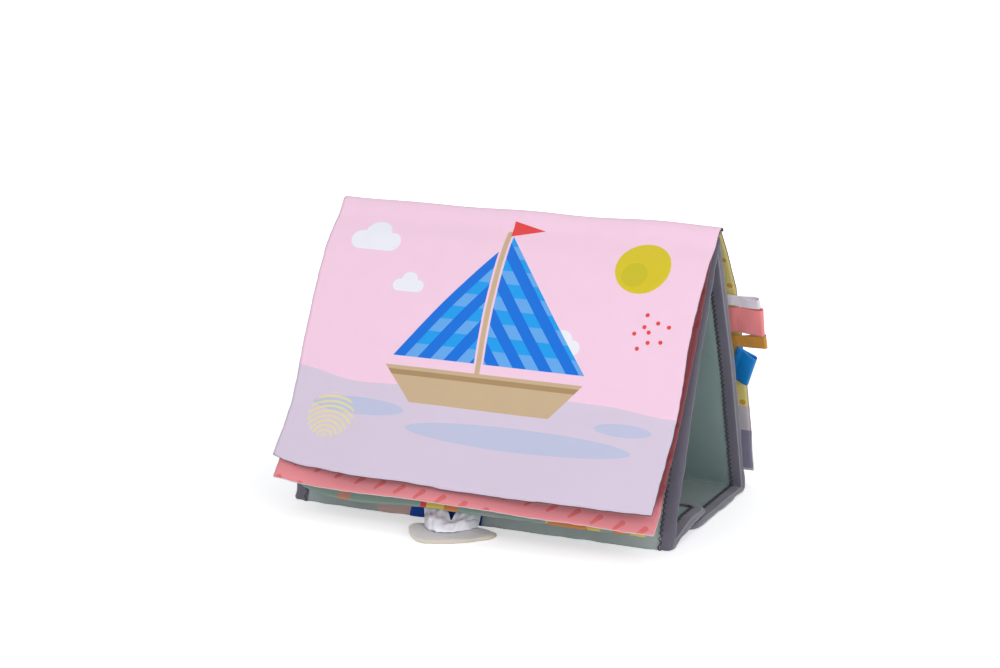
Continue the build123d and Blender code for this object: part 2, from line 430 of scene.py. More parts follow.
LINING = (0.275, 0.375, 0.36)
RAW_EDGE = (0.80, 0.70, 0.70)


def page_one():
    """A sailing boat with patched sails on pale water, under a plain sun."""
    c = Cloth("leaf_one_print", PINK, roughness=0.8, sheen=0.2)
    swell = (c.u * 0.038 + 0.6).sin() * 3.0 + (c.u * 0.09).sin() * 1.2
    c.fill(LAVENDER, c.v - swell + 124)
    for x, y, a, b in ((-78, -142, 30, 5.5), (28, -152, 72, 7.5), (92, -138, 18, 4.0)):
        c.fill(PALE_BLUE, c.ellipse(x, y, a, b), 0.8)
    sun = c.circle(84, -38, 17)
    c.fill(FRUIT, sun)
    c.fill((0.52, 0.47, 0.02), c.circle(80, -43, 8).most(sun), 0.5)
    for x, y, s in ((-92, -36, 1.0), (-62, -64, 0.62), (44, -92, 0.7)):
        body = c.bar(x - 9 * s, y, x + 11 * s, y, 6.5 * s)
        hump = c.circle(x + s, y + 6 * s, 8.5 * s)
        c.fill(CLOUD, body.least(hump))
    mast = c.bar(-6, -22, -6, -120, 1.6)
    c.fill(BEIGE, mast)
    main = c.polygon((-3, -108), (62, -108), (-3, -24))
    jib = c.polygon((-9, -36), (-62, -108), (-9, -108))
    for sail, lean in ((main, 0.78), (jib, -0.74)):
        c.fill(BLUE_MID, sail)
        cell = 17
        across = ((c.u + c.v * lean) / cell).fract() * cell - cell / 2
        level = ((c.v + 108) / cell).fract() * cell - cell / 2
        c.fill(BLUE_DARK, sail.most(across))
        c.fill(BLUE_LIGHT, sail.most(level).most(-across))
    hull = c.polygon((-46, -136), (44, -136), (62, -114), (-66, -114))
    c.fill(BEIGE, hull)
    c.fill((0.42, 0.27, 0.13), hull.most((c.v + 118).abs() - 1.6))
    c.fill(RED, c.polygon((-5, -13), (-5, -24), (16, -18)))
    shell_disc = c.circle(-94, -150, 15)
    ring = ((c.circle(-94, -165, 0) / 3.2).fract() - 0.5).abs() * 3.2 - 0.75
    c.fill(PALE_YELLOW, shell_disc.most(ring), 0.9)
    for i in range(9):
        angle, radius = 2.4 * i, 4.4 * math.sqrt(i)
        c.fill(RED, c.circle(97 + radius * math.cos(angle), -78 + radius * math.sin(angle), 1.3))
    return c.woven(0.42, 0.05, mottle=0.02, slub=0.02)


def page_two():
    """Coral cloth with rows of short slanted strokes in a darker tone, and painted shade along its right edge."""
    c = Cloth("leaf_two_print", CORAL, roughness=0.85)
    lean = math.radians(52)
    p = c.u * math.cos(lean) + c.v * math.sin(lean)
    q = c.v * math.cos(lean) - c.u * math.sin(lean)
    row_gap, stroke_gap = 12.5, 19
    row = (q / row_gap).floor()
    across = ((q / row_gap).fract() - 0.5) * row_gap
    along = (((p + row * 7.3) / stroke_gap).fract() - 0.5) * stroke_gap
    over = (along.abs() - 3.0).most(0.0)
    stroke = (over * over + across * across).sqrt() - 1.5 - along * 0.14
    c.fill(CORAL_DARK, stroke, 0.62, 0.3)
    # Painted shade: a dark red strip along the leaf's right edge, down to 165 mm below the ridge, where leaf 1
    # shades it
    painted_shade_strip = (118 - c.u).most(-165 - c.v)
    c.fill((0.20, 0.02, 0.03), painted_shade_strip, 0.8, 9)
    return c.woven(0.42, 0.05)


def page_three():
    """Sage cloth with plain blocks of colour at its lower edge."""
    c = Cloth("leaf_three_print", SAGE, roughness=0.85)
    blocks = ((-88, -79, SALMON), (-30, -26, RED), (-26, -14, YELLOW), (-14, -5, ORANGE), (52, 88, YELLOW),
              (96, 106, ORANGE), (108, 118, YELLOW), (10, 22, COVER_GREY))
    for x0, x1, colour in blocks:
        side = (c.u - (x0 + x1) / 2).abs() - (x1 - x0) / 2
        c.fill(colour, side.most(c.v + 150))
    c.fill(ORANGE, c.circle(66, -196, 17))
    return c.woven(0.42, 0.05)


def rear_page():
    """Yellow cloth with small dots above bands of grey and violet."""
    c = Cloth("rear_leaf_print", (0.80, 0.68, 0.24), roughness=0.9)
    cell = 11
    row = (c.v / cell).floor()
    du = (((c.u + row * (cell / 2)) / cell).fract() - 0.5) * cell
    dv = ((c.v / cell).fract() - 0.5) * cell
    c.fill((0.66, 0.33, 0.05), (du * du + dv * dv).sqrt() - 1.9, blur=0.3)
    c.fill((0.62, 0.56, 0.61), c.v + 140.5)
    c.fill((0.27, 0.25, 0.36), c.v + 159)
    c.fill((0.58, 0.53, 0.50), c.v + 188.5)
    return c.woven(0.5, 0.06)


def rear_outer_page():
    """Pale grey cloth with a patchwork of plain rounded fields."""
    c = Cloth("rear_leaf_outer_print", (0.52, 0.50, 0.58), roughness=0.88)
    fields = ((-60, -60, 30, 22, (0.70, 0.56, 0.18)), (40, -52, 34, 24, (0.74, 0.34, 0.33)),
              (-10, -104, 36, 20, (0.20, 0.42, 0.62)), (72, -112, 26, 26, (0.36, 0.47, 0.38)),
              (-78, -124, 24, 28, (0.80, 0.58, 0.66)), (14, -158, 44, 18, (0.72, 0.62, 0.46)))
    for x, y, a, b, colour in fields:
        c.fill(colour, c.ellipse(x, y, a, b, 0.15))
    c.fill((0.23, 0.215, 0.31), c.v + 180)
    return c.woven(0.5, 0.06)


def cover_page():
    """Grey-green cloth with a few large plain shapes."""
    c = Cloth("cover_print", COVER_GREY, roughness=0.85)
    c.fill((0.60, 0.41, 0.38), c.ellipse(-52, -176, 20, 17, 0.4))
    c.fill(ROYAL, c.polygon((-47, -200), (3, -200), (3, -150), (-39, -150)))
    c.fill(NAVY, c.bar(20, -181, 52, -181, 3.4))
    c.fill(YELLOW, c.circle(40, -110, 26))
    c.fill(CORAL, c.circle(-60, -80, 22))
    return c.woven(0.5, 0.06)


def plain_cloth(name, colour, pitch=0.45, sheen=0.25, mottle=0.05):
    c = Cloth(name, colour, sheen=sheen)
    return c.woven(pitch, 0.05, mottle=mottle)


def lining_cloth():
    """Plain lining, with painted shade that makes it a little darker from the fold on."""
    c = Cloth("cover_lining_cloth", LINING, roughness=0.6, sheen=0.3)
    # Painted shade: a quarter darker towards the fold and the flap
    c.shade(1.0 - c.inside(c.v + 165, 60) * 0.25)
    return c.woven(0.45, 0.04, mottle=0.05)


def raw_edge():
    """The cut edge of a leaf: pale along its foot, with painted shade that makes it dark above."""
    c = Cloth("leaf_raw_edge", RAW_EDGE)
    # Painted shade: dark red on the edge above its foot
    c.fill((0.12, 0.02, 0.03), -172 - c.v, 0.9, 14)
    return c.woven(0.45, 0.05)


TAPE_NOSE = 11.3


def twill_tape(name, colour):
    """Binding tape with fine ribs that slant across it, and a painted highlight along its nose."""
    c = Cloth(name, colour, roughness=0.55, sheen=0.4)
    # Painted highlight: a lighter band and a pale line along the tape's nose, where it folds round the edge
    c.fill((0.32, 0.31, 0.36), (c.u - TAPE_NOSE).abs() - 1.2, 0.45, 1.6)
    c.fill((0.62, 0.60, 0.64), (c.u - TAPE_NOSE - 1.3).abs() - 0.25, 0.6, 0.8)
    ribs = ((c.u + c.v) * (2 * math.pi / 0.7)).sin()
    return c.done(ribs * 0.6 + c.noise(1.2, 3.0), 0.06, ribs * 0.03 + (c.noise(9, 3.0) - 0.5) * 0.16 + 1.0)


def satin(name, colour, sheen):
    """Woven ribbon with fine cross ribs and a selvedge."""
    c = Cloth(name, colour, roughness=0.42, sheen=sheen, specular=0.45)
    ribs = (c.u * (2 * math.pi / 0.35)).sin()
    return c.done(ribs * 0.5 + c.noise(1.5, 3.0), 0.03, ribs * 0.02 + (c.noise(6, 3.0) - 0.5) * 0.10 + 1.0)


def strap_cloth():
    """Thin white satin, which creases softly."""
    c = Cloth("strap_satin_cloth", (0.90, 0.91, 0.98), roughness=0.4, sheen=0.2, specular=0.4)
    ribs = (c.u * (2 * math.pi / 0.4)).sin()
    return c.done(c.noise(4, 4.0) + ribs * 0.03, 0.35, (c.noise(8, 3.0) - 0.5) * 0.08 + 1.0)


def felt_cloth(name, colour, deep):
    """Pressed felt with loose fibres."""
    c = Cloth(name, colour, roughness=0.98, sheen=0.6, specular=0.1)
    fibres = c.noise(0.7, 5.0, 0.7)
    tone = (fibres - 0.5) * 0.25 + (c.noise(7, 3.0) - 0.5) * 0.12 + 1.0
    return c.done(fibres + c.noise(3, 3.0) * 1.5, deep, tone)


def hook_and_loop():
    """A field of small hooks and loops."""
    c = Cloth("hook_and_loop_field", (0.30, 0.29, 0.34), roughness=0.7, sheen=0.5)
    rows = (c.u * (2 * math.pi / 1.3)).sin() * (c.v * (2 * math.pi / 1.3)).sin()
    return c.done(rows + c.noise(0.8, 4.0) * 1.5, 0.3, rows * 0.12 + 1.0)


COVER_PRINT = cover_page()
UNDERSIDE = plain_cloth("leaf_one_back", MAROON, mottle=0.1)
CORAL_BACK = plain_cloth("leaf_two_back", (0.55, 0.16, 0.18))
SAGE_BACK = plain_cloth("leaf_three_back", (0.25, 0.36, 0.31))
RAW = raw_edge()
LINING_CLOTH = lining_cloth()
TAPE = twill_tape("binding_tape_twill", BINDING)
THREAD_MAT = plain_cloth("stitch_thread", THREAD, pitch=0.3)
BOARD = plain_cloth("stiff_board_grey", (0.32, 0.31, 0.30), pitch=0.8, sheen=0.05)
FELT = felt_cloth("felt_pressed", (0.72, 0.70, 0.70), 0.18)
FELT_EDGE = felt_cloth("felt_cut_edge", (0.72, 0.64, 0.54), 0.3)
HOOK_LOOP = hook_and_loop()


# Leaves

LEAF_PLACES = (0.135, 0.36, 0.74, 1.0)
LEAF_ROWS = 104


def root_at(root):
    """Where a leaf leaves the roll, by how far it stands off from the front cover's face."""
    upper = unit(bow_point(FRONT_FOLD) - RIDGE)
    return RIDGE + upper * LEAF_START + np.array([upper[1], -upper[0]]) * (root * MM)


def model_places(short, *stand_offs):
    """The model's places of a leaf that stops short of the longest one, and stands off so far at each."""
    reach = LEAF_LENGTH - short * MM
    return [RIDGE + CHORD * reach * p + STAND_OFF * (off * MM) for p, off in zip(LEAF_PLACES, stand_offs)]


def catmull(points, count):
    """A smooth curve through the points, evenly spaced by length."""
    p = np.array(points)
    p = np.vstack([2 * p[0] - p[1], p, 2 * p[-1] - p[-2]])
    out = []

    def between(a, b, t_a, t_b):
        return a * (t_b - t) / (t_b - t_a) + b * (t - t_a) / (t_b - t_a)

    for i in range(1, len(p) - 2):
        gaps = [np.linalg.norm(p[i + k] - p[i + k - 1]) ** 0.5 for k in (0, 1, 2)]
        t0, t1, t2, t3 = np.cumsum([0] + gaps)
        for t in np.linspace(t1, t2, 40, endpoint=False):
            a1, a2 = between(p[i - 1], p[i], t0, t1), between(p[i], p[i + 1], t1, t2)
            a3 = between(p[i + 1], p[i + 2], t2, t3)
            out.append(between(between(a1, a2, t0, t2), between(a2, a3, t1, t3), t1, t2))
    out.append(p[-2])
    out = np.array(out)
    length = lengths(out)
    even = np.linspace(0, length[-1], count)
    return np.column_stack([np.interp(even, length, out[:, k]) for k in (0, 1)])


def leaf_sheet(name, profile, width, thickness, seed, wave, mirrored=False, shape=None, spread=0.0, shift=0.0,
               hem_line=((-1, 0), (1, 0)), left_trim=0.0, right_trim=0.0):
    """A hanging leaf: the profile swept along the ridge, with waves that grow towards its free edges."""
    line = Path(catmull(profile, LEAF_ROWS))
    total = line.length[-1]
    uu, vv = np.meshgrid(np.linspace(-width / 2, width / 2, 120), line.length)
    share = vv / total
    ripple, fine = Waves(seed, 110), Waves(seed + 1, 32)
    loose = smooth(0.03, 0.3, share)
    off = ripple(uu, vv) * wave * loose + fine(uu, vv) * wave * 0.14 * smooth(0.0, 0.1, share)
    if shape:
        off = off + shape(uu, vv, total)
    to_side = smooth(0.88, 1.0, np.abs(uu) / (width / 2))
    cut = Waves(seed + 2, 9)(vv * 0, vv) * 0.10 * MM + Waves(seed + 4, 60)(vv * 0, vv) * 0.2 * MM
    top = (1 - share) ** 2
    x = uu * (1 + spread * top) + shift * top + np.sign(uu) * cut * to_side * loose
    x = x + left_trim * smooth(0, -width / 2, uu) * share
    x = x + right_trim * smooth(width / 4, width / 2, uu) * (1 - 0.5 * smooth(0.85, 1.0, share))
    hem = Waves(seed + 3, 8)(uu, vv * 0) * 0.12 * MM + Waves(seed + 5, 70)(uu, vv * 0) * 0.25 * MM
    table = catmull(mm(hem_line), 60)
    hem = hem * smooth(0.93, 1.0, share) + np.interp(uu, table[:, 0], table[:, 1]) * smooth(0.4, 1.0, share)
    heading = np.interp(vv, line.length, line.left[:, 1]), -np.interp(vv, line.length, line.left[:, 0])

    def layer(depth):
        y, z = line.at(vv, depth)
        points = np.stack([x, y + heading[0] * hem, z + heading[1] * hem], -1)
        return flipped(points) if mirrored else points

    return shell(name, layer(-off), layer(thickness - off), uu, -(vv + hem), mirrored), total


def first_leaf_shape(u, v, length):
    """Small dents along the ridge."""
    return Waves(91, 60)(u, v * 0) * 0.5 * MM * (1 - smooth(0.03, 0.16, v / length))


def end_lift(*places, left=0.0):
    """A leaf's lower edge, lifted off the cover by so many millimetres at each place, with a bulge at its left."""
    table = catmull(mm(places), 60)

    def shape(u, v, length):
        share = v / length
        bulge = left * smooth(-60 * MM, -122 * MM, u) * smooth(0.78, 0.94, share) * smooth(1.05, 0.94, share)
        return np.interp(u, table[:, 0], table[:, 1]) * smooth(0.6, 1.0, share) + bulge
    return shape


# Along the ridge and down from the straight hem, or off the cover, in millimetres
HEM_ONE = ((-123, -5.5), (-112, -2.6), (-98, -0.3), (-69, 1.6), (-30, 1.5), (2, 2.5), (30, 3.3), (60, 2.8),
           (123, 1.7))
HEM_TWO = ((-124, -3.2), (-100, -1.2), (-60, -0.5), (0, 0), (60, 0), (124, -0.5))
HEM_THREE = ((-122, -6), (-110, -1), (-95, 2), (-75, 2.5), (-40, 0.5), (0, 0), (122, 0))
LIFT_TWO = ((-124, 1.6), (-100, 0.5), (-60, 2.5), (-20, 3.8), (20, 2.4), (60, 2.2), (100, 1.0), (124, 0.5))
LIFT_THREE = ((-122, -2.5), (-105, -2.2), (-85, 0), (0, 0), (122, 0))

# The leaves' courses across the book, in millimetres: round the ridge from its middle, and as y and z
RIDGE_WRAP = [(3.4, 0.7), (0.6, 2.8), (-3.8, 0.6), (-9.5, -7.4)]
LEAF_TWO_PLACES = [(-8.5, 169.0), (-18.0, 154.0), (-28.3, 133.0), (-39.4, 112.0), (-49.2, 95.5), (-57.8, 81.5),
                   (-68.4, 64.5), (-80.8, 47.5), (-91.5, 28.8), (-103.0, 19.2)]
REAR_PLACES = [(-11.0, 170.0), (-22.0, 156.5), (-36.5, 134.5), (-56.5, 86.0), (-67.2, 57.0), (-76.0, 33.0)]


def add_leaf(name, width, profile, thickness, mats, seed, wave, node, body=None, **extra):
    obj, length = leaf_sheet(name, profile, width * MM, thickness * MM, seed, wave * MM, **extra)
    materials(obj, *mats)
    stand_for(obj, "leaf_print", node, body=body)
    return obj


profile = [RIDGE + p for p in mm(RIDGE_WRAP)] + model_places(18, 13.2, 23.4, 28.3, 44.0)
leaf_1 = add_leaf("leaf_1", 246, profile, 1.2, (page_one(), UNDERSIDE, UNDERSIDE), 11, 0.35, "front_leaves",
                  shape=first_leaf_shape, spread=0.016, shift=1.0 * MM, hem_line=HEM_ONE, left_trim=-2.6 * MM)
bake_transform(leaf_1)
add_leaf("leaf_2", 248, [root_at(2.9)] + mm(LEAF_TWO_PLACES), 0.9, (page_two(), CORAL_BACK, RAW), 21, 0.3,
         "front_leaves", "front_cover", shape=end_lift(*LIFT_TWO, left=4.5 * MM), left_trim=2.5 * MM,
         hem_line=HEM_TWO)
add_leaf("leaf_3", 245, [root_at(1.6)] + model_places(4, 4.2, 9.4, 13.2, 26.6), 0.9,
         (page_three(), SAGE_BACK, SAGE_BACK), 31, 0.3, "front_leaves", "front_cover", spread=-0.05,
         shape=end_lift(*LIFT_THREE), left_trim=4 * MM, right_trim=-7 * MM, hem_line=HEM_THREE)
profile = [RIDGE + np.array([-3.0, 0.9]) * MM] + mm(REAR_PLACES) + model_places(2, 11.0, 20.0, 21.0, 20.0)[-1:]
rear_line = Path(catmull(profile, LEAF_ROWS))
add_leaf("rear_leaf_cloth", 249, profile, 1.5, (rear_outer_page(), rear_page(), RAW), 41, 0.7, "rear_leaf",
         "rear_cover", mirrored=True)


# Covers with their base flaps

# The strip starts clear of the roll, and its deeper layers start further down, where the two covers part
ROLL_CLEARANCE = 2.4 * MM
COVERS_PART = 2.72
START_FADE = 24 * MM


class Half:
    """The front or the rear half of the book, as one strip that is folded at its cover's foot."""

    def __init__(self, name, fold, flap_points, flap_radii, mirrored, bend):
        self.name, self.mirrored, self.bend = name, mirrored, bend
        corners = [RIDGE, bow_point(fold), fold] + flap_points
        self.path = Path(rounded(corners, [BOW_RADIUS, FOLD_RADIUS] + flap_radii))
        self.length = self.path.length[-1]
        self.legs = unit(fold - bow_point(fold)), unit(flap_points[0] - fold)
        turn = math.acos(np.clip(self.legs[0] @ self.legs[1], -1, 1))
        self.corner, self.trim, self.arc = fold, FOLD_RADIUS * math.tan(turn / 2), FOLD_RADIUS * turn / 2
        start = np.argmin(np.linalg.norm(self.path.points - (fold - self.legs[0] * self.trim), axis=1))
        self.fold_at = self.path.length[start] + self.arc

    def place(self, x, s, depth):
        """Points at a place along the ridge, a length down the strip and a depth below its outer face."""
        start = np.maximum(ROLL_CLEARANCE, COVERS_PART * depth + 0.5 * MM)
        s = s + start * np.clip(1 - s / START_FADE, 0, 1)
        y, z = self.path.at(s, depth)
        y0, z0 = self.path.at(s)
        t = (s - self.fold_at) / self.arc
        crease = np.where(np.abs(t) < 1, FOLD_SHARP * np.clip(1 - depth / PANEL, 0, 1), 0)
        for k, axis in enumerate((y, z)):
            leg = np.where(t < 0, self.legs[0][k], self.legs[1][k])
            axis += crease * (self.corner[k] + leg * self.trim * t - (y0, z0)[k])
        points = np.stack([x + y * 0, y, np.maximum(z, 0.02 * MM)], -1)
        return flipped(points) if self.mirrored else points

    def outline(self, step):
        """The edge of the strip from the ridge round the flap's free end: place, inward direction and length."""
        side = self.length - FLAP_CORNER
        straight = np.linspace(0, side, int(side / step) + 1)
        turn = np.linspace(0, math.pi / 2, 12)[1:-1]
        across = np.linspace(HALF_WIDTH - FLAP_CORNER, FLAP_CORNER - HALF_WIDTH,
                             int(2 * (HALF_WIDTH - FLAP_CORNER) / step) + 1)
        x = [straight * 0 + HALF_WIDTH, HALF_WIDTH - FLAP_CORNER + FLAP_CORNER * np.cos(turn), across]
        s = [straight, side + FLAP_CORNER * np.sin(turn), across * 0 + self.length]
        nx = [straight * 0 - 1, -np.cos(turn), across * 0]
        ns = [straight * 0, -np.sin(turn), across * 0 - 1]
        for values, sign in ((x, -1), (s, 1), (nx, -1), (ns, 1)):
            values += [sign * values[1][::-1], sign * values[0][::-1]]
        x, s, nx, ns = (np.concatenate(k) for k in (x, s, nx, ns))
        length = np.concatenate([[0], np.cumsum(np.hypot(np.diff(x), np.diff(s)))])
        return x, s, nx, ns, length

    def follow(self, obj):
        """Bakes the piece's transform into its mesh; its bend at the fold between the cover and its flap is already
        in its shape.
        """
        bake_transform(obj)


CLOTH_INSET = 8.2 * MM


def cloth_layer(half, name, near, deep, puff, seed, mat):
    """One cloth of the sandwich, with its faint creases."""
    reach, foot = HALF_WIDTH - CLOTH_INSET, half.length - CLOTH_INSET
    by_fold = np.linspace(half.fold_at - 12 * MM, half.fold_at + 12 * MM, 22)
    s = np.unique(np.concatenate([np.linspace(0, foot, 100), by_fold]))
    uu, ss = np.meshgrid(np.linspace(-reach, reach, 84), s)
    edge = np.minimum(reach - np.abs(uu), foot - ss)
    crease = Waves(seed, 70)(uu, ss) * 0.22 * MM
    pucker = Waves(seed + 1, 9)(uu, ss) * 0.10 * MM * (1 - smooth(0, 14 * MM, edge))
    near_fold = smooth(16 * MM, 2 * MM, np.abs(ss - half.fold_at))
    bunch = Waves(seed + 2, 16)(uu, ss) * 0.25 * MM * near_fold
    lift = (crease + pucker + bunch) * smooth(0, 5 * MM, edge + 1.5 * MM)
    pinch = 0.75 * MM * smooth(4.5 * MM, 0, edge)
    outer = half.place(uu, ss, near - (lift - pinch if puff < 0 else 0))
    inner = half.place(uu, ss, deep + (lift - pinch if puff > 0 else -pinch))
    obj = shell(name, outer, inner, uu, -ss, half.mirrored)
    return materials(obj, mat)


# The outer half of the tape's section, from its inner edge to its nose: inward place and depth, in millimetres
TAPE_SECTION = ((9.2, 0.10), (8.8, -0.12), (8.3, 0.0), (7.6, 0.02), (6.6, -0.04), (5.2, -0.02), (3.4, 0.08),
                (1.8, 0.42), (0.8, 0.85), (0.25, 1.2), (0.0, 1.6), (-0.05, 2.0))


def tape_strip(half, name, mat):
    """The binding tape: folded round the strip's edge, with puckers between its stitches."""
    other_half = tuple((t, PANEL / MM - d) for t, d in TAPE_SECTION[-2::-1])
    section = catmull(mm(TAPE_SECTION + other_half), 31)
    heading = units(np.gradient(section, axis=0))
    inward = np.column_stack([-heading[:, 1], heading[:, 0]])
    if inward[15, 0] < 0:
        inward = -inward
    girth = lengths(section)
    x, s, nx, ns, length = half.outline(1.9 * MM)
    ll, gg = np.meshgrid(length, girth, indexing="ij")
    middle = np.exp(-(((gg - girth[-1] / 2) / (6 * MM)) ** 2))
    wrinkle = Waves(61, 13)(ll, gg) * 0.13 * MM + Waves(62, 45)(ll, gg) * 0.2 * MM * middle
    near_fold = smooth(12 * MM, 0, np.abs(s - half.fold_at))[:, None]
    wrinkle = wrinkle + Waves(63, 7)(ll, gg) * 0.22 * MM * near_fold
    t, d = (section[:, k] + inward[:, k] * wrinkle for k in (0, 1))

    def put(t, d):
        return half.place(x[:, None] + nx[:, None] * t, s[:, None] + ns[:, None] * t, d)

    outer = put(t, d)
    inner = put(*(value + inward[:, k] * 0.42 * MM for k, value in enumerate((t, d))))
    obj = shell(name, outer, inner, gg, ll, half.mirrored)
    return materials(obj, mat), length[-1], girth[-1]


THREAD_RADIUS = 0.32 * MM
SEAM_INSET, SEAM_PITCH, SEAM_SWING = 8.3 * MM, 3.3 * MM, 1.1 * MM


def thread(name, points, normals, mat, sides=4):
    """A thread that follows the points."""
    heading = units(np.gradient(points, axis=0))
    across = units(np.cross(heading, normals))
    up = np.cross(across, heading)
    angles = 2 * math.pi * (np.arange(sides) + 0.5) / sides
    rings = np.stack([points + THREAD_RADIUS * (math.cos(a) * across + math.sin(a) * up) for a in angles], 1)
    count = len(points)
    uvs = np.column_stack([np.repeat(np.linspace(0, count * MM, count), sides),
                           np.tile(np.arange(sides) * 0.4 * MM, count)])
    return materials(tube(name, rings, uvs), mat)


def zigzag(half, name, depth, mat):
    """The zigzag seam that holds the tape, on one face."""
    x, s, nx, ns, length = half.outline(1.0 * MM)
    count = int(length[-1] / SEAM_PITCH) * 4
    l = np.linspace(length[0] + 3 * MM, length[-1] - 3 * MM, count)
    side = np.array([0, 1, 0, -1])[np.arange(count) % 4]
    raised = np.where(side == 0, 0.58 * MM, 0.34 * MM)
    xs, ss, nxs, nss = (np.interp(l, length, k) for k in (x, s, nx, ns))
    t = SEAM_INSET + side * SEAM_SWING
    outward = -1 if depth < PANEL / 2 else 1
    d = depth + outward * raised
    points, below = (half.place(xs + nxs * t, ss + nss * t, k) for k in (d, d - outward * 1.5 * MM))
    normals = points - below
    points[:, 2] = np.maximum(points[:, 2], THREAD_RADIUS)
    return thread(name, points, normals, mat)


halves = (
    Half("front", FRONT_FOLD, [np.array([FRONT_TIP - FLAP_LEVEL, FLAP_LIFT]), np.array([FRONT_TIP, FLAP_LIFT])],
         [FLAP_BEND], False, ((-68.5, 9.0), (-60.0, -0.5))),
    Half("rear", REAR_FOLD, [np.array([REAR_TIP, 0.0])], [], True, ((-65.3, 9.0), (-58.0, -0.5))),
)
for k, half in enumerate(halves):
    cover, flap = half.name + "_cover", half.name + "_flap"
    face = cloth_layer(half, half.name + "_face_cloth", 0.0, 0.75 * MM, -1, 70 + 9 * k, COVER_PRINT)
    stand_for(face, "cover_print", cover + "_cloth", flap + "_cloth")
    lining = cloth_layer(half, half.name + "_lining_cloth", 3.25 * MM, 4.0 * MM, 1, 74 + 9 * k, LINING_CLOTH)
    stand_for(lining, "cover_lining", cover + "_lining", flap + "_lining")
    for cloth in (face, lining):
        half.follow(cloth)
    tape, tape_length, tape_girth = tape_strip(half, half.name + "_binding_tape", TAPE)
    stand_for(tape, "binding_tape", cover + "_binding_left", cover + "_binding_right", flap + "_binding")
    half.follow(tape)
    for side, depth in (("outside", 0.08 * MM), ("inside", PANEL - 0.08 * MM)):
        seam = zigzag(half, half.name + "_seam_" + side, depth, THREAD_MAT)
        half.follow(seam)


# The roll of cloth along the ridge

def spine_roll():
    x = np.linspace(-HALF_WIDTH, HALF_WIDTH, 170)
    angle = np.linspace(0, 2 * math.pi, 25)[:-1]
    xx, aa = np.meshgrid(x, angle, indexing="ij")
    radius = 1.95 * MM + Waves(81, 16)(xx, aa * 2 * MM) * 0.09 * MM
    radius = radius * np.where(np.abs(xx) > HALF_WIDTH - 0.6 * MM, 0.8, 1)
    points = np.stack([xx, radius * np.cos(aa), RIDGE_Z + radius * np.sin(aa)], -1)
    uvs = np.column_stack([xx.ravel(), (aa * 2 * MM).ravel()])
    return materials(tube("spine_roll_cloth", points, uvs, turned=True), TAPE)


stand_for(spine_roll(), "binding_tape", "spine_roll", body="rear_cover")


# Ribbon loops

RIBBON_ROOT_X, RIBBON_ROOT_OFF, RIBBON_SEWN = 118.0 * MM, 3.9 * MM, 6.0 * MM
RIBBON_BULGE, RIBBON_THICKNESS = 1.7 * MM, 0.32 * MM


def ribbon_loop(name, colour, sheen, width, reach, droop, curl, raised, fan):
    """A ribbon folded back on itself, whose two ends are sewn to the inner face of the rear leaf."""
    low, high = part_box(name)
    middle_z = (low[2] + high[2]) / 2 + reach * math.sin(math.radians(droop)) * 0.45 + raised
    at = np.argmin(np.abs(rear_line.points[:, 1] - middle_z))
    heading = unit(rear_line.points[at + 6] - rear_line.points[at - 6])
    base = rear_line.points[at]
    down = np.array([0.0, -heading[0], heading[1]])
    out = np.array([0.0, heading[1], heading[0]])
    out = out if out[1] < 0 else -out
    root = np.array([RIBBON_ROOT_X, -base[0], base[1]]) + out * RIBBON_ROOT_OFF
    total = reach + RIBBON_SEWN
    straight = np.linspace(0, 1, 26)
    near = np.column_stack([straight * (total - RIBBON_BULGE), RIBBON_BULGE * smooth(0.1, 1.0, straight)])
    turn = np.linspace(0, math.pi, 14)[1:-1]
    tip = np.column_stack([total - RIBBON_BULGE + RIBBON_BULGE * np.sin(turn), RIBBON_BULGE * np.cos(turn)])
    far = near[::-1] * np.array([1, -1])
    line = np.vstack([near, tip, far])
    along = units(np.gradient(line, axis=0))
    inner_line = line + np.column_stack([along[:, 1], -along[:, 0]]) * RIBBON_THICKNESS
    w = np.linspace(-width / 2, width / 2, 15)
    c, s = math.cos(math.radians(droop)), math.sin(math.radians(droop))
    length = lengths(line)

    def put(shape):
        lx, lo = shape[:, 0][:, None], shape[:, 1][:, None]
        spread = w * np.where(w < 0, 1 + fan * (1 - np.clip(lx / total, 0, 1)), 1)
        ww = spread + Waves(int(width * 1e4), 22)(lx, w * 0) * 0.25 * MM
        bend = curl * (lx / total) ** 2 * (w / width)
        lift = lo + bend + Waves(int(width * 1e4) + 1, 14)(lx, ww) * 0.14 * MM * smooth(0, 8 * MM, lx)
        px = lx * c - ww * s
        pd = lx * s + ww * c
        return root + px[..., None] * np.array([1.0, 0, 0]) + pd[..., None] * down + lift[..., None] * out

    ll, ww = np.meshgrid(length, w, indexing="ij")
    obj = shell(name + "_loop", put(line), put(inner_line), ll, ww)
    materials(obj, satin(name + "_satin", colour, sheen))
    stand_for(obj, name, name, body="rear_cover")


# Colour, sheen, width, reach, droop in degrees, curl, how far it is raised and how much its root fans out
RIBBONS = (
    ("ribbon_white", (0.95, 0.89, 0.97), 0.35, 8.0, 16.3, 2.5, -2.0, 1.4, 0),
    ("ribbon_coral", (0.97, 0.28, 0.29), 0.35, 18.0, 17.3, 0.5, 2.0, 2.0, 0),
    ("ribbon_mustard", (0.60, 0.27, 0.03), 0.35, 8.0, 18.0, -5.0, 1.5, 0.0, 0),
    ("ribbon_blue", (0.001, 0.23, 0.66), 0.03, 20.5, 7.6, 20.0, 2.0, -3.0, 0.45),
)
for name, colour, sheen, width, reach, droop, curl, raised, fan in RIBBONS:
    ribbon_loop(name, colour, sheen, width * MM, reach * MM, droop, curl * MM, raised * MM, fan)


# The felt leaf on the floor and its gathered strap

FELT_MIDDLE = (-4.6 * MM, -97.2 * MM)
FELT_TURN = math.radians(20)
FELT_HALF = (26.0 * MM, 15.8 * MM)
FELT_TAPER = 0.34
FELT_LIFT = 2.8 * MM


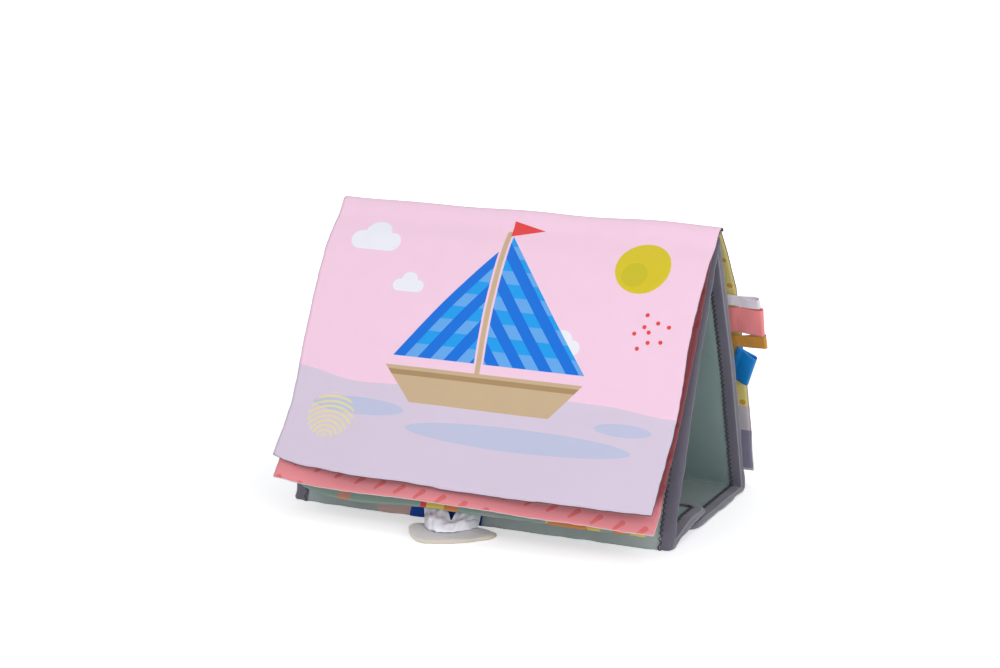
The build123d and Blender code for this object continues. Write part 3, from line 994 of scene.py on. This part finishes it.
def felt_leaf():
    """An egg-shaped leaf of thick felt with a soft top and a cut edge."""
    top_rings, spokes = 22, 96
    angle = np.linspace(0, 2 * math.pi, spokes, endpoint=False)
    cut = Waves(101, 7)(np.cos(angle) * FELT_HALF[0], np.sin(angle) * FELT_HALF[1]) * 0.22 * MM
    blunt = np.where(np.cos(angle) < 0, 0.62, 1)
    ex = FELT_HALF[0] * np.sign(np.cos(angle)) * np.abs(np.cos(angle)) ** blunt
    ey = FELT_HALF[1] * np.sin(angle) * (1 - FELT_TAPER * np.cos(angle))
    size = np.hypot(ex, ey)
    ex, ey = ex * (1 + cut / size), ey * (1 + cut / size)
    c, s = math.cos(FELT_TURN), math.sin(FELT_TURN)
    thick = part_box("felt_leaf")[1][2]
    shares = list(np.linspace(0.04, 0.955, top_rings)) + [0.985, 1.0, 1.0, 0.985, 0.7, 0.35, 0.04]
    heights = [thick] * top_rings + [thick - 0.35 * MM, thick - 0.9 * MM, 0.7 * MM, 0.12 * MM] + [0.1 * MM] * 3
    rings, uvs = [], []
    for share, height in zip(shares, heights):
        x, y = ex * share, ey * share
        bump = Waves(102, 15)(x, y) * 0.16 * MM if height > 0.5 * MM else 0
        z = height + bump * smooth(1.0, 0.9, share) + smooth(-16 * MM, -27 * MM, x) * FELT_LIFT
        z = np.maximum(z, 0.05 * MM)
        rings.append(np.column_stack([FELT_MIDDLE[0] + x * c - y * s, FELT_MIDDLE[1] + x * s + y * c, z]))
        uvs.append(np.column_stack([x, y + height]))
    marks = np.zeros((len(rings) - 1) * spokes + 2, int)
    marks[(top_rings - 1) * spokes:(top_rings + 3) * spokes] = 1
    return materials(tube("felt_leaf_cut", np.array(rings), np.vstack(uvs), marks), FELT, FELT_EDGE)


# The strap's foot: the share of its width, and the place on the felt in millimetres
STRAP_FOOT = ((0, -23.5, -95.5), (0.14, -19.0, -100.5), (0.35, -12.3, -103.4), (0.6, -3.4, -99.4),
              (0.85, 3.4, -91.2), (1, 6.2, -83.0))
STRAP_TOP_LEFT, STRAP_TOP_WIDTH = -37.5, 41.5
STRAP_TOP_Y, STRAP_TOP_Z = -66.6 * MM, 13.5 * MM
STRAP_FOOT_Z = 3.0 * MM
STRAP_THICKNESS = 0.35 * MM
NOTCH_AT, NOTCH_HALF, NOTCH_DEPTH = 0.54, 0.23, 0.72
PUFF = 3.8 * MM


def gathered_strap():
    """A short gathered strip of satin, which falls from the cover in two puffs with a notch between them."""
    aa, bb = np.meshgrid(np.linspace(0, 1, 120), np.linspace(0, 1, 60))
    notch = np.clip(1 - np.abs(aa - NOTCH_AT) / NOTCH_HALF, 0, 1)
    bb = bb + (1 - bb) * notch * NOTCH_DEPTH
    place, foot_x, foot_y = (np.array(k) for k in zip(*STRAP_FOOT))
    foot_x, foot_y = np.interp(aa, place, foot_x) * MM, np.interp(aa, place, foot_y) * MM
    x = (STRAP_TOP_LEFT + STRAP_TOP_WIDTH * aa) * MM * (1 - bb) + foot_x * bb
    y = STRAP_TOP_Y * (1 - bb) + foot_y * bb
    z = STRAP_TOP_Z * (1 - bb) + STRAP_FOOT_Z * bb
    left, right = (np.sin(math.pi * np.clip(k, 0, 1)) for k in (aa / 0.6, (aa - 0.52) / 0.52))
    round_end = np.sqrt(np.clip(1 - (2 * bb - 1) ** 4, 0, 1))
    puff = (PUFF * np.maximum(left, right) + 0.6 * MM) * round_end * smooth(-0.1, 0.35, bb)
    gather = np.sin(aa * 2 * math.pi * 8 + 0.9 * np.sin(bb * 5)) * 0.5 * MM * (1 - 0.7 * bb)
    creases = Waves(111, 9)(40 * MM * aa, bb * 40 * MM) * 0.6 * MM * smooth(1.0, 0.8, bb)
    lift = puff + gather + creases
    y = y - 0.35 * lift
    z = np.maximum(z + 0.93 * lift, 2.9 * MM)
    outer, inner = (np.stack([x, y, k], -1) for k in (z + STRAP_THICKNESS, z))
    return materials(shell("strap_gathered", outer, inner, 55 * MM * aa, -bb * 45 * MM), strap_cloth())


felt = felt_leaf()
stand_for(felt, "felt", "felt_leaf", body="front_cover")
strap = gathered_strap()
stand_for(strap, "strap_satin", "gathered_strap", body="front_cover")


# Hook and loop strips between the flaps, and the boards inside the sandwiches

def strip(name, mat, hooks):
    """A strip whose lower face has the hooks, or whose upper face has the loops."""
    low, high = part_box(name)
    uu, vv = np.meshgrid(np.linspace(low[0], high[0], 200), np.linspace(low[1], high[1], 14)[::-1])
    rough = np.clip(Waves(121 if hooks else 122, 2.4)(uu, vv) * 0.06 * MM, -0.12 * MM, 0.12 * MM)
    top, base = uu * 0 + high[2], uu * 0 + low[2]
    if hooks:
        base = base + 0.15 * MM + rough
    else:
        top = top - 0.15 * MM + rough
    return materials(shell(name + "_tape", *(np.stack([uu, vv, z], -1) for z in (top, base)), uu, vv), mat)


for name, body, hooks in (("loop_strip", "rear_base_flap", False), ("hook_strip", "front_base_flap", True)):
    stand_for(strip(name, HOOK_LOOP, hooks), "hook_and_loop", name, body=body)
for name, board in frame["nodes"].items():
    if name.endswith("_board"):
        for place in board.material_slots:
            place.material = BOARD


# Stage, light and camera

WORLD_LEVEL = 0.5
FLOOR_HALF = 6.0
GLOW = (("From Min", 0.22), ("From Max", 0.75), ("To Min", 0.5), ("To Max", 1.0))


def seen_by(tree, *rays):
    """1 for rays of either kind."""
    node = tree.nodes.new("ShaderNodeLightPath")
    first, second = (Value(tree, node.outputs[ray]) for ray in rays)
    return first.most(second)


def floor():
    """A white floor, whose own glow grows away from the book so that no edge shows."""
    half = FLOOR_HALF
    obj = make_object("floor", [(-half, -half, 0), (half, -half, 0), (half, half, 0), (-half, half, 0)],
                      [(0, 1, 2, 3)])
    mat = bpy.data.materials.new("floor_white")
    mat.use_nodes = True
    tree = mat.node_tree
    shader = tree.nodes["Principled BSDF"]
    shader.inputs["Base Color"].default_value = (0.84, 0.84, 0.85, 1)
    shader.inputs["Roughness"].default_value = 0.95
    shader.inputs["Specular IOR Level"].default_value = 0.1
    radius = tree.nodes.new("ShaderNodeVectorMath")
    radius.operation = "LENGTH"
    tree.links.new(tree.nodes.new("ShaderNodeTexCoord").outputs["Object"], radius.inputs[0])
    ramp = tree.nodes.new("ShaderNodeMapRange")
    ramp.interpolation_type = "SMOOTHSTEP"
    for key, value in GLOW:
        ramp.inputs[key].default_value = value
    tree.links.new(radius.outputs["Value"], ramp.inputs["Value"])
    glow = tree.nodes.new("ShaderNodeEmission")
    power = seen_by(tree, "Is Camera Ray", "Is Glossy Ray") * Value(tree, ramp.outputs[0])
    tree.links.new(power.socket, glow.inputs["Strength"])
    both = tree.nodes.new("ShaderNodeAddShader")
    for k, source in enumerate((shader, glow)):
        tree.links.new(source.outputs[0], both.inputs[k])
    tree.links.new(both.outputs[0], tree.nodes["Material Output"].inputs["Surface"])
    materials(obj, mat)


def surroundings():
    """Plain soft light from all round, and white where the camera sees past the floor."""
    world = bpy.data.worlds.new("studio")
    bpy.context.scene.world = world
    world.use_nodes = True
    tree = world.node_tree
    back, white = tree.nodes["Background"], tree.nodes.new("ShaderNodeBackground")
    for node, colour, level in ((back, (0.95, 0.97, 1.0, 1), WORLD_LEVEL), (white, (1, 1, 1, 1), 1.0)):
        node.inputs["Color"].default_value = colour
        node.inputs["Strength"].default_value = level
    mix = tree.nodes.new("ShaderNodeMixShader")
    seen = seen_by(tree, "Is Camera Ray", "Is Transmission Ray")
    for k, socket in enumerate((seen.socket, back.outputs[0], white.outputs[0])):
        tree.links.new(socket, mix.inputs[k])
    tree.links.new(mix.outputs[0], tree.nodes["World Output"].inputs["Surface"])


# Place, height of the aim above the origin, size and power in watts
LAMPS = (("key", (-0.8, -1.4, 1.5), 0.08, (1.2, 1.2), 6), ("front", (0.5, -1.8, 0.35), 0.06, (1.6, 0.5), 9),
         ("fill", (1.5, -1.0, 0.9), 0.08, (1.2, 1.0), 8), ("top", (0.3, 0.6, 1.8), 0.05, (1.4, 1.4), 6))


def lamps():
    for name, place, aim, size, power in LAMPS:
        data = bpy.data.lights.new(name, "AREA")
        data.shape = "RECTANGLE"
        data.size, data.size_y = size
        data.energy = power
        obj = placed(name, data)
        obj.location = place
        obj.rotation_euler = (Vector((0, 0, aim)) - Vector(place)).to_track_quat("-Z", "Y").to_euler()


def camera():
    """A camera that was fitted to the photograph's corners."""
    azimuth, elevation, roll = (math.radians(a) for a in (23.5, 13.15, 0.51))
    focal_px, width_px, sensor = 2500.0, 1000.0, 36.0
    back = Vector((math.sin(azimuth) * math.cos(elevation), -math.cos(azimuth) * math.cos(elevation),
                   math.sin(elevation)))
    flat_right = Vector((math.cos(azimuth), math.sin(azimuth), 0))
    flat_up = back.cross(flat_right)
    right = math.cos(roll) * flat_right + math.sin(roll) * flat_up
    up = -math.sin(roll) * flat_right + math.cos(roll) * flat_up
    aim = Vector((0, -66.6 * MM, 90 * MM)) + right * 11.22 * MM + up * 26.8 * MM
    distance = 1492.85 * MM
    data = bpy.data.cameras.new("camera")
    data.sensor_width = sensor
    data.lens = focal_px / width_px * sensor
    data.clip_start, data.clip_end = 0.01, 50
    obj = placed("camera", data)
    stand = Matrix((right, up, back)).transposed().to_4x4()
    stand.translation = aim + back * distance
    obj.matrix_world = stand
    bpy.context.scene.camera = obj


floor()
surroundings()
lamps()
camera()
bpy.context.scene.view_settings.view_transform = "Standard"
